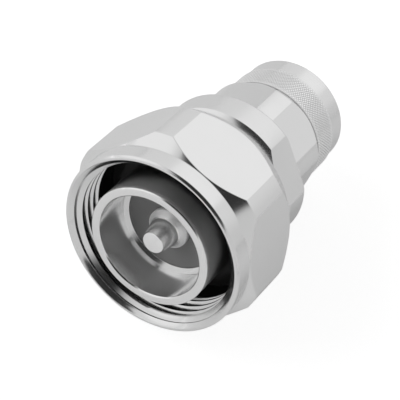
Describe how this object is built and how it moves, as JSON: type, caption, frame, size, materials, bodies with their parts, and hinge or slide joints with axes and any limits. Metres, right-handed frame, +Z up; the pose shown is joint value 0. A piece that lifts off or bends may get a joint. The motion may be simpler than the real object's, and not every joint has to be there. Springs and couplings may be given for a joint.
{
  "type": "coaxial adapter",
  "caption": "Straight coaxial adapter from a large plug with a hexagonal coupling nut to a small plug with a knurled coupling nut, with wrench flats between them.",
  "frame": {"origin": "middle of the footprint box, on the surface that the adapter lies on", "axes": "the adapter's axis lies in the XZ plane and leans down about 12 degrees towards +X; the large plug faces -X, the N plug faces +X, +Z is up from the table, and a flat of the large nut is on top"},
  "size_m": [0.0502, 0.0352, 0.0344],
  "materials": {
    "plated_brass": "satin white-bronze plate on turned brass",
    "silver_plate": "bright silver plate",
    "spring_bronze": "bare spring bronze",
    "grey_insulator": "smooth grey moulded insulator",
    "seal_rubber": "smooth black seal rubber"
  },
  "bodies": {
    "body": {"large_nut_seal": "seal_rubber", "large_outer_contact": "plated_brass", "large_insulator": "grey_insulator", "insulator_clamp_bush": "plated_brass", "large_centre_pin": "silver_plate", "centre_conductor": "silver_plate", "large_face_gasket": "seal_rubber", "main_body": "plated_brass", "n_body": "plated_brass", "body_joint_seal": "seal_rubber", "n_insulator": "grey_insulator", "n_outer_contact": "silver_plate", "n_centre_pin": "silver_plate", "n_face_gasket": "seal_rubber", "n_nut_seal": "seal_rubber"},
    "large_ring": {"large_retaining_ring": "spring_bronze"},
    "large_nut": {"large_coupling_nut": "plated_brass"},
    "n_ring": {"n_retaining_ring": "spring_bronze"},
    "n_nut": {"n_coupling_nut": "plated_brass"}
  },
  "joints": [
    {"name": "large_nut_float", "type": "slide", "parent": "body", "child": "large_ring", "axis": [0.9794, 0, -0.2022], "range_m": [-0.00015, 0.00015]},
    {"name": "large_nut_turn", "type": "hinge", "parent": "large_ring", "child": "large_nut", "pos_m": [-0.00844, 0, 0.01612], "axis": [0.9794, 0, -0.2022], "continuous": true},
    {"name": "n_nut_float", "type": "slide", "parent": "body", "child": "n_ring", "axis": [0.9794, 0, -0.2022], "range_m": [-0.00015, 0.00015]},
    {"name": "n_nut_turn", "type": "hinge", "parent": "n_ring", "child": "n_nut", "pos_m": [0.00574, 0, 0.01319], "axis": [0.9794, 0, -0.2022], "continuous": true}
  ]
}
